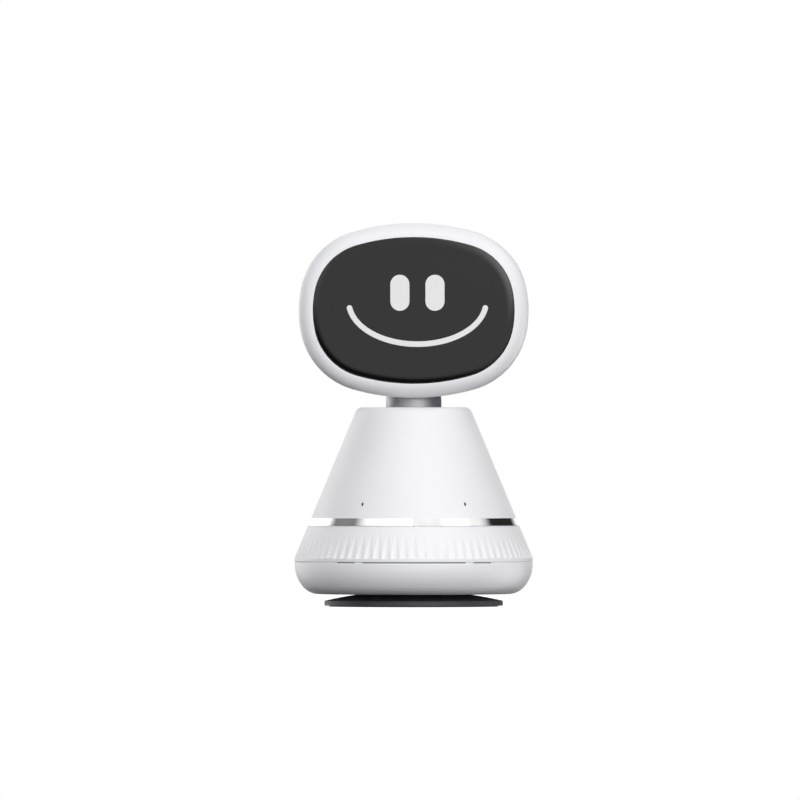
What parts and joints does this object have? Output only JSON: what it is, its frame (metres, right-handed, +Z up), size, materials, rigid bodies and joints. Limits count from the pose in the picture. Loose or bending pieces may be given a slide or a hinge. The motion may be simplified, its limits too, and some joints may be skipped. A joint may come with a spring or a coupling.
{
  "type": "tabletop companion robot",
  "caption": "Tabletop companion robot: a screen-faced oval head that pans and tilts on a ball neck, over a conical body with a fluted skirt that turns on a weighted puck base.",
  "frame": {"origin": "middle of the foot, on the surface it stands on", "axes": "+Z up, -Y is the way the face looks at rest, +X to the viewer's right"},
  "size_m": [0.1864, 0.1864, 0.2997],
  "materials": {
    "white_shell": "satin",
    "black_base": "fine moulded texture",
    "dark_trim": "matte",
    "port_rubber": "matte",
    "face_black": "gloss",
    "lit_white": "lit",
    "chrome_trim": "polished",
    "neck_metal": "satin",
    "foot_rubber": "matte",
    "steel": "turned",
    "plate_metal": "milled",
    "screw_steel": "zinc plated",
    "gear_plastic": "moulded",
    "servo_black": "moulded",
    "board_green": "solder mask",
    "cell_blue": "shrink wrap",
    "display_glass": "gloss",
    "cone_paper": "felted"
  },
  "bodies": {
    "base": {"base_plate": "black_base", "base_cover": "black_base", "base_weight": "steel", "foot_ring": "foot_rubber", "base_screws": "screw_steel", "turntable_spindle": "plate_metal", "bearing_inner_ring": "steel", "bearing_balls": "steel", "gear_spacer": "steel", "yaw_gear": "gear_plastic", "retaining_ring": "steel", "stop_pin": "steel"},
    "body": {"lower_shell": "white_shell", "slot_backing": "dark_trim", "ribbed_skirt": "white_shell", "status_lens": "dark_trim", "chrome_ring": "chrome_trim", "cone_shell": "white_shell", "chassis_plate": "plate_metal", "bearing_outer_ring": "steel", "motor_bracket": "plate_metal", "yaw_motor": "steel", "upper_deck": "plate_metal", "deck_posts": "plate_metal", "body_screws": "screw_steel", "battery": "cell_blue", "main_board": "board_green", "heat_sink": "plate_metal", "power_board": "board_green", "power_socket": "steel", "speaker_frame": "steel", "speaker_cone": "cone_paper", "speaker_magnet": "steel", "microphone_left": "port_rubber", "microphone_right": "port_rubber", "button_switch": "board_green", "pan_bracket": "plate_metal", "pan_servo": "servo_black", "neck_bush": "gear_plastic"},
    "yaw_pinion": {"yaw_pinion": "gear_plastic", "pinion_shaft": "steel"},
    "power_button": {"power_button": "white_shell"},
    "neck": {"neck_shell": "neck_metal", "neck_plate": "servo_black", "neck_screws": "screw_steel", "servo_cradle": "plate_metal", "tilt_servo": "servo_black"},
    "head": {"rear_housing": "white_shell", "front_bezel": "white_shell", "face_lens": "face_black", "eye_left": "lit_white", "eye_right": "lit_white", "mouth": "lit_white", "lcd_module": "display_glass", "head_frame": "servo_black", "display_board": "board_green", "tilt_yoke": "plate_metal", "pivot_pin": "steel", "head_screws": "screw_steel"}
  },
  "joints": [
    {"name": "body_turn", "type": "hinge", "parent": "base", "child": "body", "pos_m": [0, 0, 0.0175], "axis": [0, 0, 1], "range_deg": [-170, 170]},
    {"name": "yaw_pinion_spin", "type": "hinge", "parent": "body", "child": "yaw_pinion", "pos_m": [-0.03, 0, 0.029], "axis": [0, 0, 1], "continuous": true},
    {"name": "power_button_press", "type": "slide", "parent": "body", "child": "power_button", "axis": [0, -0.9228, -0.3853], "range_m": [0, 0.001], "stiffness_N_per_m": 400},
    {"name": "head_pan", "type": "hinge", "parent": "body", "child": "neck", "pos_m": [0, 0, 0.15], "axis": [0, 0, 1], "range_deg": [-90, 90]},
    {"name": "head_tilt", "type": "hinge", "parent": "neck", "child": "head", "pos_m": [0, 0, 0.1605], "axis": [1, 0, 0], "range_deg": [-25, 15]}
  ],
  "couplings": [
    {"joint": "yaw_pinion_spin", "follows": "body_turn", "ratio": 4}
  ]
}
